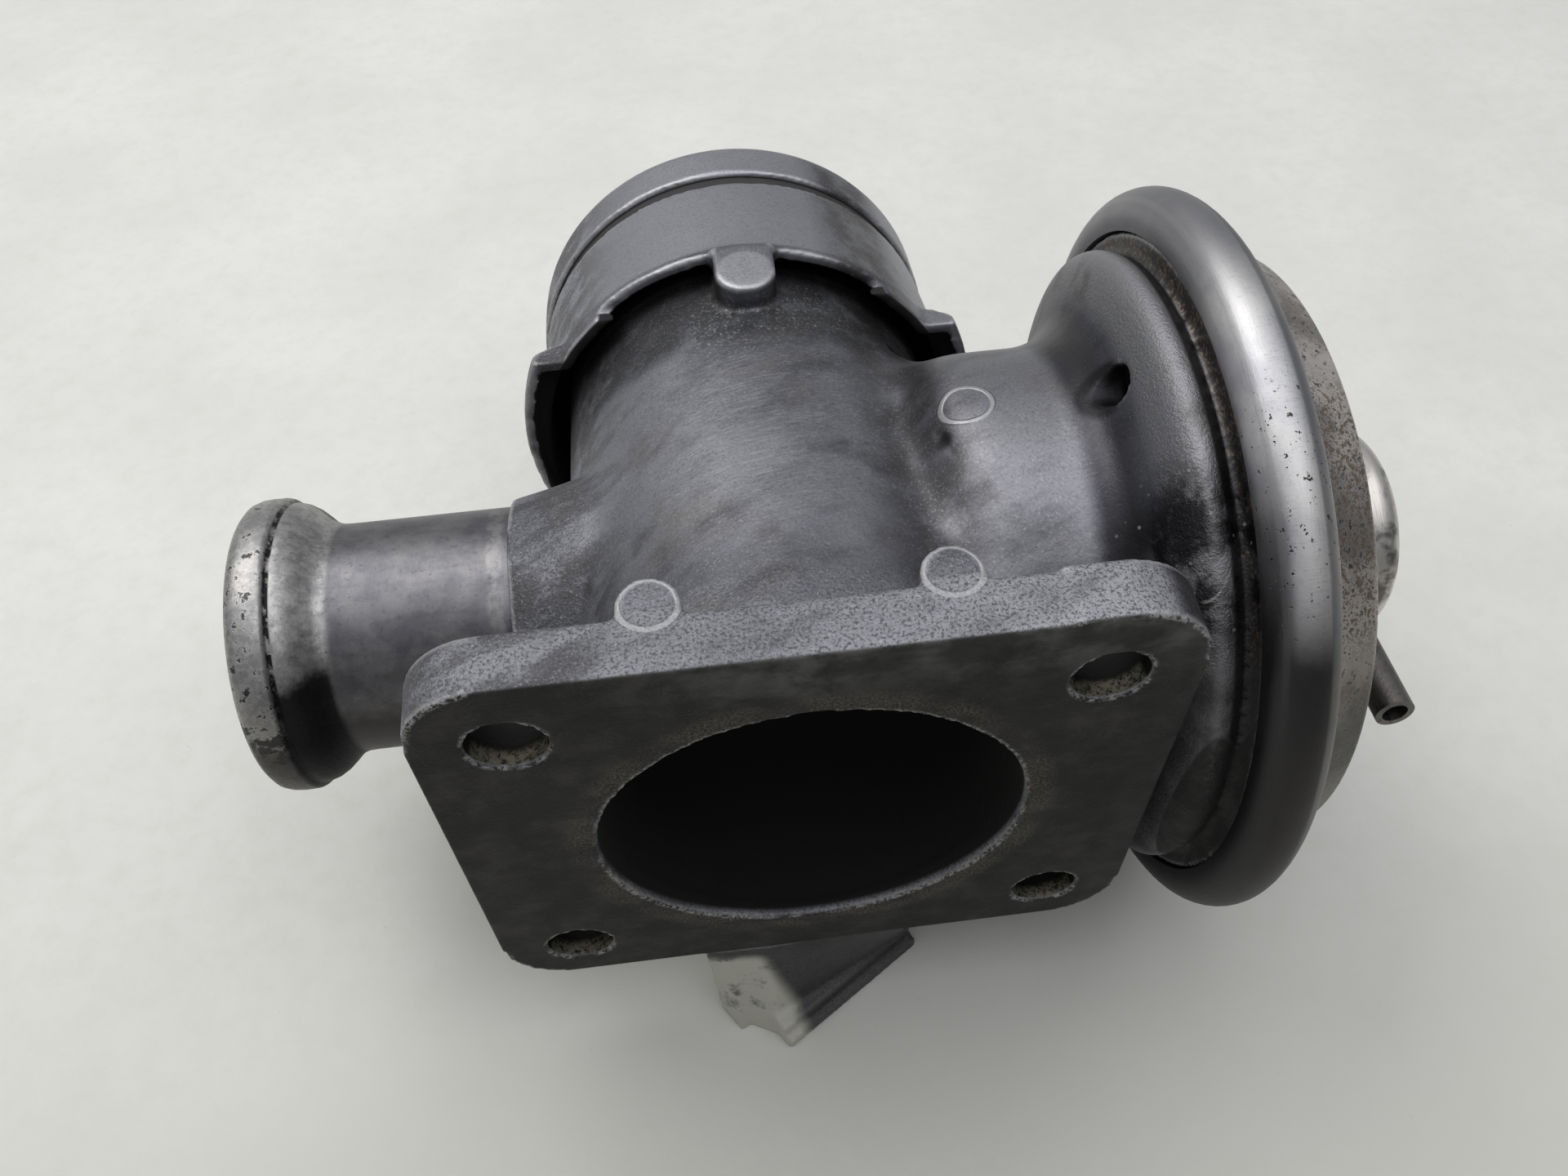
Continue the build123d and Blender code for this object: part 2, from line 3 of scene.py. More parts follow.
import bmesh
import bpy
import numpy as np
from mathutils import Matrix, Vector


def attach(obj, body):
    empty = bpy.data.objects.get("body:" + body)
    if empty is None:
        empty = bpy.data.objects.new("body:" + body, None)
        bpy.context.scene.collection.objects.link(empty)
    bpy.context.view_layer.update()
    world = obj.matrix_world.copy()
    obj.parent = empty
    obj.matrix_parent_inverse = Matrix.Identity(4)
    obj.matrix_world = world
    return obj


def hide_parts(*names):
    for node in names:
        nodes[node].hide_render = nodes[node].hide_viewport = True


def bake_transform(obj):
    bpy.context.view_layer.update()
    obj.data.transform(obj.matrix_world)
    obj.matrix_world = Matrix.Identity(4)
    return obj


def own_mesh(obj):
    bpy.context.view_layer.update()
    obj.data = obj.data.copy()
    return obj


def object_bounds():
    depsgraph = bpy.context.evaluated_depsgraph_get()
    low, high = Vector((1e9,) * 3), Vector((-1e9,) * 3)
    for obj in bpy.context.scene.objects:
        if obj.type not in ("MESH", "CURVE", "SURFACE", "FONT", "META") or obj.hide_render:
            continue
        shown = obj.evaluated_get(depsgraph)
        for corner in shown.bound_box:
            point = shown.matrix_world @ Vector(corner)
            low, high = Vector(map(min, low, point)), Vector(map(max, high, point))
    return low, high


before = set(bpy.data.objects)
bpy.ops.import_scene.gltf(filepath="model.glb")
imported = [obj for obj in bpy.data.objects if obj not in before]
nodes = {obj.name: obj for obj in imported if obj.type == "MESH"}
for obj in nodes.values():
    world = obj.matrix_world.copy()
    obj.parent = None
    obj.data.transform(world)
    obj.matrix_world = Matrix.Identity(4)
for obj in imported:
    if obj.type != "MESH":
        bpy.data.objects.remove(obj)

cad_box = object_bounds()

# ------------------------------------------------------------------ housing
# The body is one sand-textured aluminium die casting: flange, air tube, hose collar, pipe socket,
# neck, diaphragm bowl and locating foot. Its corners are rounded as the die left them, and hot
# soot, oil and handling have stained it.

MM = 0.001
TILT = math.radians(8.0)
VALVE_Y = 39.06
VALVE_Z = -VALVE_Y * math.tan(TILT)


class Mask:
    """A number that changes over a surface. A sum written with it adds the Math nodes."""

    def __init__(self, graph, socket):
        self.graph = graph
        self.socket = socket

    def __add__(self, other):
        return self.graph.maths("ADD", self, other)

    __radd__ = __add__

    def __sub__(self, other):
        return self.graph.maths("SUBTRACT", self, other)

    def __rsub__(self, other):
        return self.graph.maths("SUBTRACT", other, self)

    def __mul__(self, other):
        return self.graph.maths("MULTIPLY", self, other)

    __rmul__ = __mul__

    def __pow__(self, other):
        return self.graph.maths("POWER", self, other)

    def __abs__(self):
        return self.graph.maths("ABSOLUTE", self)

    def __or__(self, other):
        return self.graph.maths("MAXIMUM", self, other)


class Graph:
    """A node tree in the making."""

    def __init__(self, tree):
        self.tree = tree

    def node(self, kind, settings=None, sockets=None):
        """New node of that kind: its settings come first, then the values or links of its sockets."""
        made = self.tree.nodes.new(kind)
        for name, value in (settings or {}).items():
            setattr(made, name, value)
        for name, value in (sockets or {}).items():
            self.feed(made.inputs[name], value)
        return made

    def feed(self, socket, value):
        """Links a mask or an output to the socket, or sets a plain value on it."""
        value = getattr(value, "socket", value)
        if isinstance(value, bpy.types.NodeSocket):
            self.tree.links.new(value, socket)
        else:
            socket.default_value = value

    def maths(self, operation, *values):
        made = self.node("ShaderNodeMath", {"operation": operation}, dict(enumerate(values)))
        return Mask(self, made.outputs[0])

    def step(self, value, low, high):
        """0 below low, 1 above high, smooth between. With low above high it falls instead."""
        flip = low > high
        low, high = min(low, high), max(low, high)
        made = self.node("ShaderNodeMapRange", {"interpolation_type": "SMOOTHSTEP"},
                         {"Value": value, "From Min": low, "From Max": high,
                          "To Min": 1.0 if flip else 0.0, "To Max": 0.0 if flip else 1.0})
        return Mask(self, made.outputs[0])


class Look(Graph):
    """A material in the making. Lengths in it are millimetres of the row frame."""

    def __init__(self, name, metallic=1.0):
        self.material = bpy.data.materials.new(name)
        self.material.use_nodes = True
        super().__init__(self.material.node_tree)
        self.shader = self.tree.nodes["Principled BSDF"]
        self.set(Metallic=metallic)
        place = self.node("ShaderNodeTexCoord").outputs["Object"]
        scaled = self.node("ShaderNodeVectorMath", {"operation": "SCALE"}, {0: place, "Scale": 1 / MM})
        self.place = scaled.outputs[0]
        split = self.node("ShaderNodeSeparateXYZ", sockets={0: self.place})
        self.x, self.y, self.z = (Mask(self, split.outputs[i]) for i in range(3))

    def set(self, **values):
        """Values or links of the shader's sockets, by name with _ for a space."""
        for name, value in values.items():
            self.feed(self.shader.inputs[name.replace("_", " ")], value)

    def noise(self, size, detail=3.0, rough=0.55, stretch=(1, 1, 1), turn=(0, 0, 0), shift=0.0):
        """Cloudy noise with features of about size millimetres, or stretch times that along an axis."""
        place = self.node("ShaderNodeMapping", {"vector_type": "TEXTURE"},
                          {"Vector": self.place, "Rotation": turn, "Scale": stretch,
                           "Location": (shift, 2 * shift, shift)})
        made = self.node("ShaderNodeTexNoise", {}, {"Vector": place.outputs[0], "Scale": 1 / size,
                                                    "Detail": detail, "Roughness": rough})
        return Mask(self, made.outputs[0])

    def specks(self, size):
        """Distance to scattered points about size millimetres apart, in shares of that size."""
        made = self.node("ShaderNodeTexVoronoi", {}, {"Vector": self.place, "Scale": 1 / size})
        return Mask(self, made.outputs["Distance"])

    def field(self, name):
        """A number stored on the points of the mesh."""
        return Mask(self, self.node("ShaderNodeAttribute", {"attribute_name": name}).outputs["Fac"])

    def about(self, across, up):
        """Distance from an axis, from the two coordinates square to it."""
        return (across * across + up * up) ** 0.5

    def near(self, place, radius, soft):
        """1 within radius of a point, falling to 0 over the soft distance."""
        off = self.node("ShaderNodeVectorMath", {"operation": "DISTANCE"}, {0: self.place, 1: place})
        return self.step(Mask(self, off.outputs["Value"]), radius + soft, radius)

    def band(self, value, low, high, soft):
        """1 between low and high, falling to 0 over the soft distance on both sides."""
        return self.step(value, low - soft, low) * self.step(value, high + soft, high)

    def tint(self, under, over, mask):
        """Colour under, turned into colour over where mask is 1."""
        made = self.node("ShaderNodeMix", {"data_type": "RGBA"}, {"Factor": mask})
        for index, colour in ((6, under), (7, over)):
            self.feed(made.inputs[index], (*colour, 1) if isinstance(colour, tuple) else colour)
        return made.outputs[2]

    def coats(self, under, *layers):
        """Colour under, with layers of (colour, mask) laid over it one after the other."""
        for over, mask in layers:
            under = self.tint(under, over, mask)
        return under

    def relief(self, height):
        """Bumps of that height in millimetres."""
        made = self.node("ShaderNodeBump", {}, {"Height": height, "Distance": MM, "Strength": 1.0})
        self.set(Normal=made.outputs[0])

    def dress(self, *objects):
        for piece in objects:
            piece.data.materials.clear()
            piece.data.materials.append(self.material)
            for face in piece.data.polygons:
                face.material_index = 0


def add_object(name, data):
    """New object of that mesh, lamp or camera, linked to the scene."""
    made = bpy.data.objects.new(name, data)
    bpy.context.scene.collection.objects.link(made)
    return made


def merged_copy(node, name):
    """Copy of a CAD node's mesh with its doubled points merged."""
    mesh = nodes[node].data.copy()
    mesh.name = name
    bm = bmesh.new()
    bm.from_mesh(mesh)
    bmesh.ops.remove_doubles(bm, verts=bm.verts, dist=0.01 * MM)
    bm.to_mesh(mesh)
    bm.free()
    return add_object(name, mesh)


def apply_modifiers(piece):
    view = bpy.context.evaluated_depsgraph_get()
    shaped = bpy.data.meshes.new_from_object(piece.evaluated_get(view))
    piece.modifiers.clear()
    piece.data = shaped


def shade_smooth(mesh):
    for face in mesh.polygons:
        face.use_smooth = True


def read_mesh(mesh):
    """Points in millimetres, edges and normals of a mesh, as arrays."""
    points = np.empty(3 * len(mesh.vertices), np.float32)
    edges = np.empty(2 * len(mesh.edges), np.int32)
    normals = np.empty(points.size, np.float32)
    mesh.vertices.foreach_get("co", points)
    mesh.edges.foreach_get("vertices", edges)
    mesh.vertices.foreach_get("normal", normals)
    return points.reshape(-1, 3).astype(float) / MM, edges.reshape(-1, 2), normals.reshape(-1, 3)


def neighbour_mean(values, edges):
    """Mean of each point's neighbours along the edges."""
    count = np.maximum(np.bincount(edges.ravel(), minlength=len(values)), 1)
    columns = [np.bincount(edges[:, 0], column[edges[:, 1]], len(values))
               + np.bincount(edges[:, 1], column[edges[:, 0]], len(values)) for column in values.T]
    return np.stack(columns, axis=1) / count[:, None]


SHORTEST_EDGE = 0.05
SHARPEST_WEAR_AND_SHADE = 2
WEAR_AND_SHADE_ROUNDS = 3


def mark_wear_and_shade(mesh):
    """Stores how sharply each point stands out, in 1/mm: positive on edges, negative in corners."""
    points, edges, normals = read_mesh(mesh)
    length = np.linalg.norm(points[edges[:, 0]] - points[edges[:, 1]], axis=1)
    total = np.bincount(edges.ravel(), np.repeat(length, 2), len(points))
    count = np.maximum(np.bincount(edges.ravel(), minlength=len(points)), 1)
    rise = ((points - neighbour_mean(points, edges)) * normals).sum(axis=1)
    bend = 2 * rise / np.maximum(total / count, SHORTEST_EDGE) ** 2
    wear_and_shade = bend.clip(-SHARPEST_WEAR_AND_SHADE, SHARPEST_WEAR_AND_SHADE)[:, None]
    for _ in range(WEAR_AND_SHADE_ROUNDS):
        wear_and_shade = (wear_and_shade + neighbour_mean(wear_and_shade, edges)) / 2
    mesh.attributes.new("wear_and_shade", "FLOAT", "POINT").data.foreach_set("value", wear_and_shade[:, 0].astype(np.float32))


def fall(distance, radius):
    """1 at no distance, 0 from the radius on, smooth between."""
    share = np.clip(1 - distance / radius, 0, 1)
    return share * share * (3 - 2 * share)


def segment_distance(points, start, end):
    """Distance of each point from the straight line between start and end."""
    start, end = np.array(start), np.array(end)
    along = np.clip((points - start) @ (end - start) / ((end - start) @ (end - start)), 0, 1)
    return np.linalg.norm(points - start - along[:, None] * (end - start), axis=1)


SMOOTH_ROUNDS = 240
SMOOTH_PULL = 0.9
SMOOTH_GAIN = 1.5


def smooth_valleys(points, edges, valleys):
    """Draws points near the valleys towards their neighbours, fully along the valleys' middles."""
    share = np.zeros(len(points))
    for start, end, radius in valleys:
        share = np.maximum(share, fall(segment_distance(points, start, end), radius))
    share = np.minimum(SMOOTH_GAIN * share, 1)
    chosen = np.flatnonzero(share > 0)
    rank = np.full(len(points), -1)
    rank[chosen] = np.arange(len(chosen))
    inner_edges = rank[edges[(share[edges] > 0).all(axis=1)]]
    soft = points[chosen]
    for _ in range(SMOOTH_ROUNDS):
        soft += SMOOTH_PULL * share[chosen, None] * (neighbour_mean(soft, inner_edges) - soft)
    points[chosen] = soft


def press_dimples(points, normals, dimples):
    """Sinks dimples into the side of the casting that looks up."""
    for start, end, radius, depth in dimples:
        share = fall(segment_distance(points, start, end), radius) * (normals[:, 2] > 0)
        points -= depth * share[:, None] * normals


# Start, end and radius of the valleys between tube and neck, and between tube and socket
VALLEYS = [((19, 60, 9), (19, 38, 17), 13),
           ((19, 38, 17), (19, 15, 15.5), 13),
           ((-18, 52, 10), (-19, 39, 13), 7),
           ((-19, 39, 13), (-18, 24, 14), 7)]
# Start, end, radius and depth of the dimples beside the neck
DIMPLES = [((20.9, 68, 9.3), (20.9, 68.1, 9.3), 1.9, 0.4),
           ((18.9, 51.2, 13.7), (19.3, 46.5, 15.5), 1.8, 0.4),
           ((20.4, 40.8, 21.5), (21.4, 36, 22.8), 1.1, 0.35)]
VOXEL = 0.5
EVEN_FACTOR = 0.5
EVEN_ROUNDS = 4
TRIANGLES_KEPT = 0.3

casting = merged_copy("housing", "casting")
rounded = casting.modifiers.new("soft corners", "REMESH")
rounded.mode = "VOXEL"
rounded.voxel_size = VOXEL * MM
even = casting.modifiers.new("even", "SMOOTH")
even.factor = EVEN_FACTOR
even.iterations = EVEN_ROUNDS
apply_modifiers(casting)

points, edges, normals = read_mesh(casting.data)
smooth_valleys(points, edges, VALLEYS)
press_dimples(points, normals, DIMPLES)
casting.data.vertices.foreach_set("co", (points * MM).astype(np.float32).ravel())

lighter = casting.modifiers.new("lighter", "DECIMATE")
lighter.ratio = TRIANGLES_KEPT
apply_modifiers(casting)
shade_smooth(casting.data)
mark_wear_and_shade(casting.data)

cast = Look("cast_aluminium")
along = cast.y * math.cos(TILT) - cast.z * math.sin(TILT)
above = cast.y * math.sin(TILT) + cast.z * math.cos(TILT)
from_tube = cast.about(cast.x, above)
from_valve = cast.about(cast.y - VALVE_Y, cast.z - VALVE_Z)
# How sharply the casting bends: worn edges where it stands out, painted shade in its corners
wear_and_shade = cast.field("wear_and_shade")
edge = cast.step(wear_and_shade, 0.14, 0.55)
corner = cast.step(wear_and_shade, -0.15, -0.6)
cloud = cast.noise(24, detail=4)
drift = cast.noise(13, detail=5, rough=0.6, shift=40)
smudge = cast.noise(5, detail=6, rough=0.65)
smear = cast.noise(5, detail=6, rough=0.62, stretch=(2.6, 1, 1), turn=(0, 0, 0.35), shift=17)
sand = cast.noise(0.55, detail=3, rough=0.8, shift=9)
grain = cast.noise(0.35, detail=3, rough=0.7)
scratch = cast.noise(0.3, detail=3, rough=0.6, stretch=(12, 1.2, 1.2), turn=(0, 0, 0.2))
brushed = cast.noise(0.28, detail=2, stretch=(1, 1, 9), shift=3)

# Forms of the casting. Each pair says where a form's mask is still 0 and where it has come to 1.
FLANGE_BACK = (8.0, 7.3)
FLANGE_FACE = (0.45, 0.1)
FLANGE_FOOT = (-34.6, -34.2)
NECK_START = (17, 24)
NECK_END = (38, 35)
SOCKET_END = (-20, -26)
SOCKET_SIDE = (9, 12)
BOWL_START = (35.5, 38.0)
BOWL_SIDE = (28.5, 30.5)
COLLAR_START = (75.5, 76.5)
COLLAR_SIDE = (29.5, 31.5)
flange = cast.step(cast.y, *FLANGE_BACK)
face = cast.step(cast.y, *FLANGE_FACE) * cast.step(cast.z, *FLANGE_FOOT)
neck = cast.step(cast.x, *NECK_START) * cast.step(cast.x, *NECK_END)
socket = cast.step(cast.x, *SOCKET_END) * cast.step(cast.y, *SOCKET_SIDE)
bowl = cast.step(cast.x, *BOWL_START) * cast.step(from_valve, *BOWL_SIDE)
collar = cast.step(along, *COLLAR_START) * cast.step(from_tube, *COLLAR_SIDE)
under_collar = cast.band(along, 63, 78, 5) * cast.step(from_tube, 30, 28.6)
valley = cast.band(cast.x, 16.5, 20.5, 6) * cast.step(cast.y, 9, 14) * cast.step(cast.z, 4, 10)
boss_top = cast.near((0.5, 73.9, 23.5), 3.6, 0.8)

# The bright metal under the dirt, cleaner on the flange towards the can and rubbed on top of the tube
DULL_METAL = (0.155, 0.16, 0.18)
CLEAN_METAL = (0.27, 0.275, 0.30)
NECK_METAL = (0.28, 0.28, 0.30)
FLANGE_METAL = (0.30, 0.305, 0.33)
WIPED_METAL = (0.42, 0.425, 0.455)
RUBBED_METAL = (0.37, 0.37, 0.395)
rubbed = cast.near((0, 47, 22), 13, 12)
colour = cast.coats(
    cast.tint(DULL_METAL, CLEAN_METAL, cast.step(cloud, 0.32, 0.66)),
    (NECK_METAL, neck * 0.75),
    (FLANGE_METAL, flange * 0.7),
    (WIPED_METAL, flange * cast.step(cast.x, -12, 30) * 0.6),
    (RUBBED_METAL, rubbed * cast.step(scratch, 0.50, 0.66) * 0.5))

# Brown and blue-black clouds on the tube, a paler collar and boss, painted shade in the valleys and
# painted shadow with soot under the collar, and pale salts beside the boss
BROWN_CLOUD = (0.19, 0.165, 0.145)
BLUE_CLOUD = (0.075, 0.075, 0.085)
COLLAR_METAL = (0.36, 0.365, 0.395)
BOSS_METAL = (0.40, 0.405, 0.43)
SCRATCH_DIRT = (0.06, 0.06, 0.07)
VALLEY_SHADE = (0.07, 0.068, 0.072)
SOCKET_DIRT = (0.08, 0.078, 0.08)
COLLAR_SHADOW_AND_SOOT = (0.05, 0.05, 0.052)
SALT = (0.46, 0.46, 0.46)
salts = cast.near((-2, 67, 18.5), 5, 5) | cast.near((9, 70.5, 17), 4, 4)
colour = cast.coats(
    colour,
    (BROWN_CLOUD, cast.step(drift, 0.50, 0.75) * (1 - flange) * 0.6),
    (BLUE_CLOUD, cast.step(smear + 0.35 * drift, 0.62, 0.95) * 0.7),
    (COLLAR_METAL, collar * 0.85),
    (BOSS_METAL, boss_top * 0.6),
    (SCRATCH_DIRT, cast.step(scratch, 0.40, 0.28) * rubbed * 0.5),
    # painted shade in the valleys between tube and neck, mottled
    (VALLEY_SHADE, valley * (0.40 + 0.5 * cast.step(smudge, 0.30, 0.62))),
    (SOCKET_DIRT, cast.step(cast.x, -17, -24) * cast.step(smear, 0.40, 0.56) * 0.6),
    # painted shadow of the collar on the tube, mottled with soot
    (COLLAR_SHADOW_AND_SOOT, under_collar * cast.step(smudge, 0.25, 0.55) * 0.8),
    (SALT, salts * cast.step(sand, 0.56, 0.68) * 0.8))

# Fine grain all over, and a sandy skin where no cloth reached: flange, socket and foot of the tube
DARK_GRAIN = (0.07, 0.07, 0.08)
PALE_GRAIN = (0.46, 0.46, 0.49)
DARK_SAND = (0.10, 0.10, 0.11)
PALE_SAND = (0.50, 0.50, 0.53)
rough_skin = cast.step(flange + socket * 0.8 + cast.step(along, 20, 12) * 0.7, 0.2, 0.9)
colour = cast.coats(
    colour,
    (DARK_GRAIN, cast.step(grain, 0.48, 0.32) * 0.4),
    (PALE_GRAIN, cast.step(grain, 0.54, 0.72) * 0.4),
    (DARK_SAND, rough_skin * cast.step(grain, 0.50, 0.40) * 0.75),
    (PALE_SAND, rough_skin * cast.step(sand, 0.60, 0.72) * 0.6))

# Bowl: a foot dark with painted shade, a sanded crest with a painted highlight, an oily line, then a rusty
# ring up to the rim, with a vent and a drip
BOWL_FOOT_SHADE = (0.030, 0.029, 0.033)
CREST_HIGHLIGHT = (0.27, 0.27, 0.285)
CREST_STAIN = (0.10, 0.095, 0.095)
CREST_SAND = (0.38, 0.38, 0.39)
OIL_FILM = (0.035, 0.036, 0.043)
RING_DIRT = (0.075, 0.068, 0.064)
RING_RUST = (0.24, 0.20, 0.165)
VENT_SHADE = (0.022, 0.022, 0.025)
WET_OIL = (0.012, 0.012, 0.014)
OIL_GLINT = (0.5, 0.5, 0.5)
foot_band = bowl * cast.step(cast.x, 43.4, 40.4)
crest = cast.band(cast.x, 43.2, 47.2, 1.4) * cast.step(from_valve, 33, 35)
oil_line = cast.band(cast.x, 47.9, 48.9, 0.5) * cast.step(from_valve, 36, 38)
ring = cast.step(cast.x, 48.9, 49.5) * cast.step(from_valve, 37, 38.5)
vent = cast.near((40.8, 39.6, 26.5), 3.2, 1.2)
oil = cast.near((45, 14, 25), 6, 8) * cast.step(smudge, 0.36, 0.56)
colour = cast.coats(
    colour,
    # painted shade on the bowl's front wall round the vent, glossy
    (BOWL_FOOT_SHADE, foot_band * (0.62 + 0.5 * cloud)),
    # painted highlight along the shoulder's crest
    (CREST_HIGHLIGHT, crest),
    (CREST_STAIN, crest * cast.step(drift, 0.50, 0.66) * 0.8),
    (CREST_SAND, crest * cast.step(sand, 0.60, 0.74) * 0.45),
    (OIL_FILM, oil_line * 0.75),
    (RING_DIRT, ring),
    (RING_RUST, ring * cast.step(cast.z, 4, 16) * cast.step(sand, 0.50, 0.62)),
    (VENT_SHADE, vent * 0.9),
    (WET_OIL, oil * 0.9),
    (OIL_GLINT, oil * cast.step(cast.specks(2.2), 0.13, 0.07)))

# Dark dimples, a light scar across the bowl, and painted shade on the bowl's side towards the flange
DIMPLE_SHADE = (0.02, 0.02, 0.022)
SCAR_METAL = (0.55, 0.55, 0.55)
POCKET_SHADE = (0.085, 0.084, 0.086)
dimples = (cast.near((20.9, 68, 9), 1.0, 1.2) | cast.near((19.1, 49, 14.5), 1.3, 1.5)
           | cast.near((20.9, 38.5, 22.4), 0.9, 1.0))
scar_line = cast.z - 22.8 - 1.09 * (cast.x - 44.8)
scar = (cast.band(scar_line, -0.06, 0.06, 0.10) * cast.band(cast.x, 44.8, 49.3, 0.6)
        * cast.band(cast.y, 7.5, 11, 1.5))
pocket = bowl * cast.step(cast.z, 24, 14) * cast.step(cast.y, 18, 8)
colour = cast.coats(
    colour,
    (DIMPLE_SHADE, dimples * 0.85),
    (SCAR_METAL, scar * sand),
    # painted shade where the bowl meets the flange
    (POCKET_SHADE, pocket * (0.5 + 0.4 * cast.step(smudge, 0.35, 0.6))))

# Painted shade in the corners, worn edges, and thin bright rings that the ejector pins left
CORNER_SHADE = (0.045, 0.044, 0.046)
EDGE_METAL = (0.50, 0.50, 0.52)
PIN_METAL = (0.55, 0.55, 0.56)
from_neck_pin = cast.about(cast.x - 24.8, cast.y - 42.6)
from_flange_pin = cast.about(abs(cast.x) - 15.3, cast.y - 8.4)
pins = (cast.band(from_neck_pin, 3.0, 3.35, 0.25) * cast.step(cast.z, 20, 22)
        | cast.band(from_flange_pin, 2.9, 3.4, 0.25) * cast.step(cast.z, 34.9, 35.3))
colour = cast.coats(
    colour,
    # painted shade in the casting's hollow corners
    (CORNER_SHADE, corner * 0.7),
    (EDGE_METAL, edge * (1 - valley) * (1 - vent) * (0.40 + 0.5 * sand)),
    (PIN_METAL, pins * (0.3 + 0.6 * sand)))

# Flange face: a sooty gasket face, a little paler along its upper edge and brown round the bore
SOOT_DARK = (0.013, 0.0125, 0.0125)
SOOT_PALE = (0.042, 0.039, 0.036)
DUST = (0.125, 0.125, 0.12)
GASKET_PRINT = (0.105, 0.09, 0.075)
SOOT_GRAIN = (0.085, 0.085, 0.083)
SOOT_SMEAR = (0.012, 0.012, 0.012)
FACE_EDGE = (0.38, 0.38, 0.38)
dusty = cast.step(cast.z + 8 * drift, 29, 38) * cast.step(smudge, 0.3, 0.6) * cast.step(cast.x, -26, 2)
print_ring = cast.band(cast.about(cast.x, cast.z), 25, 27.5, 2.0)
gasket_face = cast.coats(
    cast.tint(SOOT_DARK, SOOT_PALE, cast.step(smudge, 0.35, 0.7)),
    (DUST, dusty * 0.8),
    (GASKET_PRINT, print_ring * cast.step(grain, 0.42, 0.6)),
    (SOOT_GRAIN, cast.step(grain, 0.54, 0.68) * 0.45),
    (SOOT_SMEAR, cast.step(smear, 0.42, 0.62) * 0.75),
    (FACE_EDGE, edge * cast.step(sand, 0.42, 0.58) * 0.9))
colour = cast.tint(colour, gasket_face, face)

# The foot broke off: darker all over, with bare grey metal on the pipe's side of its ridge
FOOT_DARKENING = (0.07, 0.068, 0.066)
BROKEN_METAL = (0.52, 0.51, 0.45)
broken = cast.step(cast.z, -36, -38) * cast.step(cast.x + 0.35 * cast.z, -19.0, -21.5)
colour = cast.coats(
    colour,
    (FOOT_DARKENING, cast.step(cast.z, -34.5, -35.5) * 0.8),
    (BROKEN_METAL, broken * cast.step(smudge, 0.28, 0.45)))

# Bolt holes: walls darkened with painted shade, with bright torn metal along their lower sides
HOLE_X, HOLE_Z = 31, 25.6
HOLE_SHADE = (0.02, 0.019, 0.018)
TORN_METAL = (0.24, 0.22, 0.17)
from_hole = cast.about(abs(cast.x) - HOLE_X, abs(cast.z) - HOLE_Z)
hole_wall = cast.step(from_hole, 4.6, 4.3) * cast.band(cast.y, 0.6, 7.1, 0.3)
hole_floor = cast.band(cast.z, 21, 23.6, 1.0) | cast.band(cast.z, -30.2, -27.6, 1.0)
torn = hole_wall * hole_floor * cast.step(cast.y + 2 * smudge, 3.6, 2.4) * cast.step(sand, 0.36, 0.56)
colour = cast.coats(colour, (HOLE_SHADE, hole_wall), (TORN_METAL, torn))

# Painted shade, black inside: depths of the bolt holes, bore, mouth and ears of the skirt, bowl and spigot
INNER_SHADE = (0.008, 0.0075, 0.007)
bore = cast.step(from_tube, 26.6, 25.6) * cast.step(cast.y, 0.5, 1.4)
past_wall = cast.step(from_tube, 28.2, 28.7)
mouth = past_wall * cast.step(from_tube, 31.5, 31.1) * cast.step(along, 66, 69)
ears = (cast.step(cast.about(cast.x, above - 4.6), 33.3, 32.9) * cast.band(along, 72.2, 77.2, 0.2)
        * past_wall * cast.step(above, 17.6, 17.1))
step_edge = (cast.band(along, 71.5, 73.6, 0.3) * cast.step(from_tube, 30.2, 30.7)
             * cast.step(from_tube, 32.45, 32.2))
deep_hole = hole_wall * cast.step(cast.y, 2.2, 3.6)
bowl_inside = cast.step(cast.x, 52.4, 52.8)
spigot_inside = cast.step(along, 76, 78) * cast.step(from_tube, 30.9, 30.5)
dark = deep_hole | bore | mouth | ears | step_edge | bowl_inside | spigot_inside
colour = cast.tint(colour, INNER_SHADE, dark)

gloss = oil | oil_line | foot_band * 0.6
matt = 0.14 * rough_skin + 0.25 * dark + 0.15 * face
cast.set(Base_Color=colour, Roughness=0.40 + 0.16 * cloud + matt - 0.16 * gloss,
         Metallic=0.95 - 0.75 * (face | dark | broken))
coarse = 0.02 + 0.10 * (rough_skin + crest)
cast.relief((grain + sand) * coarse + smudge * 0.10 + brushed * 0.01 + pins * 0.12 + scratch * rubbed * 0.02)
cast.dress(casting)
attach(casting, "valve_body")
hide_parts("housing")

# ------------------------------------------------------------- exhaust pipe
# Drawn steel pipe pressed into the casting. Its free end is rolled into a flat band for the pipe
# clamp, with a step behind it and a flare down to the pipe. Soot has leaked past the clamp.

# Profiles are (x, radius) points
PIPE_IN = 13.88
PIPE_OUT = 15.38
PRESSED_END = -27.0
PIPE_BORE = [(PRESSED_END, PIPE_IN), (-68.1, PIPE_IN), (-68.3, 14.1)]
PIPE_BAND = [(-68.3, 17.9), (-68.1, 18.7), (-67.5, 19.3), (-66.6, 19.6), (-65.4, 19.7), (-63.9, 19.65),
             (-63.5, 19.5), (-63.3, 19.15), (-63.1, 18.9)]
PIPE_FLARE = [(-62.6, 18.9), (-61.6, 18.6), (-60.6, 18.0), (-59.6, 17.1), (-58.7, 16.2), (-57.9, 15.7),
              (-57.0, 15.45)]
PIPE_WALL = [(-55.8, PIPE_OUT), (-45.0, PIPE_OUT), (-36.0, PIPE_OUT), (-27.1, PIPE_OUT), (PRESSED_END, 15.3)]
TURNED_STEPS = 160


